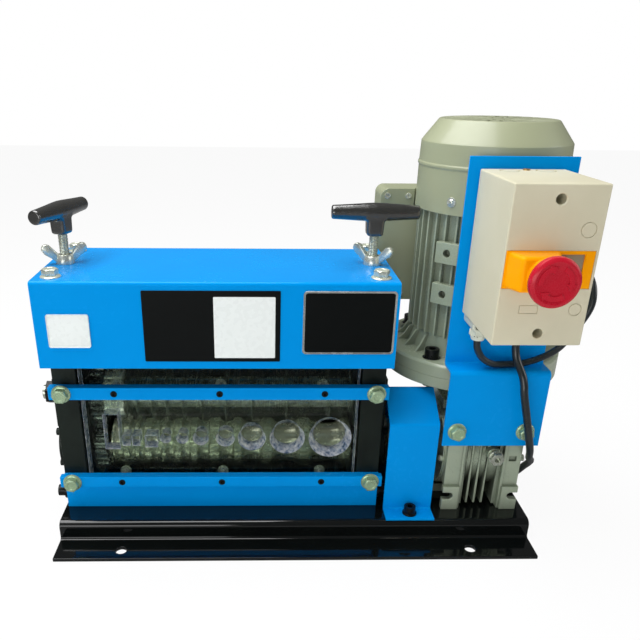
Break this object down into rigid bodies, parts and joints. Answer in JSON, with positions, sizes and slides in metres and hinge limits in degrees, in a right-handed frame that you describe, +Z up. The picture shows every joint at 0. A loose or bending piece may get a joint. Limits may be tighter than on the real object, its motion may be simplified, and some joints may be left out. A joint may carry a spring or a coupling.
{
  "type": "wire stripping machine",
  "caption": "Bench wire stripping machine: clear guide panel, slitting blades over a grooved feed roller, worm gearbox, vertical motor and a stop switch on a bracket.",
  "frame": {"origin": "centre of the four mounting holes, on the underside of the base", "axes": "+Z up along the mounting holes, +X along the base towards the gearbox, -Y towards the operator"},
  "size_m": [0.6413, 0.485, 0.4349],
  "materials": {
    "base_paint": "gloss black paint",
    "black_plate": "black oxide",
    "blue_paint": "gloss blue paint",
    "grey_paint": "satin grey paint",
    "clear_panel": "clear acrylic",
    "zinc_steel": "zinc plated",
    "bright_steel": "ground",
    "spring_steel": "oiled",
    "dark_steel": "machined",
    "black_steel": "black oxide",
    "raw_aluminium": "machined",
    "cast_aluminium": "sprayed casting",
    "plated_brass": "nickel plated",
    "bronze": "machined",
    "handle_plastic": "gloss",
    "black_plastic": "satin",
    "grey_plastic": "satin",
    "yellow_plastic": "gloss",
    "red_plastic": "gloss",
    "cord_rubber": "satin",
    "label_plate": "printed plate"
  },
  "bodies": {
    "frame": {"base_channel": "base_paint", "side_plate_left": "black_plate", "side_plate_right": "black_plate", "head_top_plate": "black_plate", "top_cover": "blue_paint", "upper_front_bar": "blue_paint", "lower_front_bar": "blue_paint", "lower_front_panel": "blue_paint", "rear_panel": "blue_paint", "guide_panel": "clear_panel", "tie_rods": "zinc_steel", "hex_flange_bolts": "zinc_steel", "socket_screws": "black_steel", "small_screws": "zinc_steel", "block_springs": "spring_steel", "shaft_bearings": "bright_steel", "bearing_caps": "black_plate", "coupling_guard": "blue_paint", "gearbox_housing": "cast_aluminium", "gearbox_side_covers": "cast_aluminium", "gearbox_plugs": "plated_brass", "gearbox_flange": "cast_aluminium", "motor_end_shield": "cast_aluminium", "flange_bolts": "black_steel", "motor_housing": "cast_aluminium", "fan_cover": "grey_paint", "capacitor_box": "grey_paint", "terminal_box": "grey_paint", "switch_bracket": "blue_paint", "switch_back_shell": "grey_plastic", "switch_front_cover": "grey_plastic", "estop_housing": "yellow_plastic", "cable_glands": "grey_plastic", "motor_lead": "cord_rubber", "supply_cord": "cord_rubber", "cord_coil": "cord_rubber", "plug": "black_plastic", "label_plates": "label_plate"},
    "carriage": {"bearing_blocks": "black_plate", "blade_shaft_bearings": "bright_steel"},
    "blade_roll": {"blade_shaft": "bright_steel", "slitting_blades": "bright_steel", "blade_spacers": "bright_steel", "upper_gear": "dark_steel", "blade_shaft_nuts": "black_steel"},
    "feed_roll": {"feed_roller": "bright_steel", "lower_gear": "dark_steel", "coupling": "raw_aluminium", "worm_wheel": "bronze", "output_shaft": "bright_steel"},
    "motor_shaft": {"motor_rotor": "dark_steel", "worm_shaft": "dark_steel", "cooling_fan": "black_plastic"},
    "t_left": {"t_screw_left": "handle_plastic"},
    "t_right": {"t_screw_right": "handle_plastic"},
    "wing_left": {"wing_nut_left": "zinc_steel"},
    "wing_right": {"wing_nut_right": "zinc_steel"},
    "stop": {"estop_button": "red_plastic"},
    "start": {"start_button": "black_plastic"}
  },
  "joints": [
    {"name": "carriage_slide", "type": "slide", "parent": "frame", "child": "carriage", "axis": [0, 0, 1], "range_m": [0, 0.005], "deforming": ["block_springs"]},
    {"name": "t_screw_left_turn", "type": "hinge", "parent": "carriage", "child": "t_left", "pos_m": [-0.242, -0.033, 0.347], "axis": [0, 0, 1], "range_deg": [0, 1200]},
    {"name": "t_screw_right_turn", "type": "hinge", "parent": "carriage", "child": "t_right", "pos_m": [0.078, -0.033, 0.347], "axis": [0, 0, 1], "range_deg": [0, 1200]},
    {"name": "wing_nut_left_turn", "type": "hinge", "parent": "frame", "child": "wing_left", "pos_m": [-0.242, -0.033, 0.3], "axis": [0, 0, 1], "range_deg": [0, 360]},
    {"name": "wing_nut_right_turn", "type": "hinge", "parent": "frame", "child": "wing_right", "pos_m": [0.078, -0.033, 0.3], "axis": [0, 0, 1], "range_deg": [0, 360]},
    {"name": "motor_turn", "type": "hinge", "parent": "frame", "child": "motor_shaft", "pos_m": [0.208, 0.017, 0.26], "axis": [0, 0, 1], "continuous": true},
    {"name": "feed_turn", "type": "hinge", "parent": "frame", "child": "feed_roll", "pos_m": [-0.082, -0.033, 0.085], "axis": [1, 0, 0], "continuous": true},
    {"name": "blade_turn", "type": "hinge", "parent": "carriage", "child": "blade_roll", "pos_m": [-0.082, -0.033, 0.145], "axis": [1, 0, 0], "continuous": true},
    {"name": "stop_press", "type": "slide", "parent": "frame", "child": "stop", "axis": [0, 1, 0], "range_m": [0, 0.0055]},
    {"name": "start_press", "type": "slide", "parent": "frame", "child": "start", "axis": [0, 1, 0], "range_m": [0, 0.003], "stiffness_N_per_m": 400}
  ],
  "couplings": [
    {"joint": "t_screw_left_turn", "follows": "carriage_slide", "rad_per_m": 4188.8},
    {"joint": "t_screw_right_turn", "follows": "carriage_slide", "rad_per_m": 4188.8},
    {"joint": "feed_turn", "follows": "motor_turn", "ratio": -0.05},
    {"joint": "blade_turn", "follows": "motor_turn", "ratio": 0.05}
  ]
}
